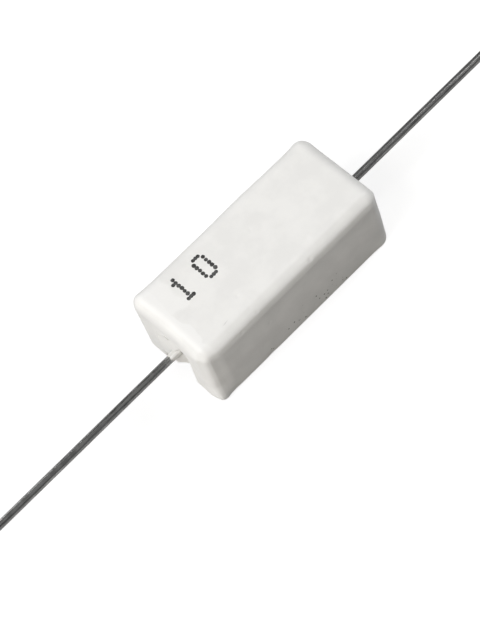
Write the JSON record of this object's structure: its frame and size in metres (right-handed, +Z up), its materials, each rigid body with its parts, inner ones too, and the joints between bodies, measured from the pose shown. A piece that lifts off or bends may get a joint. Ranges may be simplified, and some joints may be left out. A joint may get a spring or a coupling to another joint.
{
  "type": "cement power resistor",
  "caption": "Oblong white ceramic power resistor with rounded edges: a wire-wound element set in cement inside, and a straight axial lead out of a notch in each end.",
  "frame": {"origin": "middle of the body on the plane of the trough's open rim, which it rests on", "axes": "+X along the leads from the near end to the far end, +Y across the body, +Z up from the open rim to the closed top"},
  "size_m": [0.092, 0.01, 0.0078],
  "materials": {
    "white_ceramic": "satin",
    "pale_cement": "matte",
    "rod_ceramic": "matte",
    "resistance_alloy": "satin",
    "cap_steel": "satin",
    "tinned_wire": "satin"
  },
  "bodies": {
    "root": {"ceramic_body": "white_ceramic", "cement_fill": "pale_cement", "ceramic_core": "rod_ceramic", "resistance_winding": "resistance_alloy", "end_cap_near": "cap_steel", "end_cap_far": "cap_steel", "lead_near": "tinned_wire", "lead_far": "tinned_wire"}
  },
  "joints": []
}
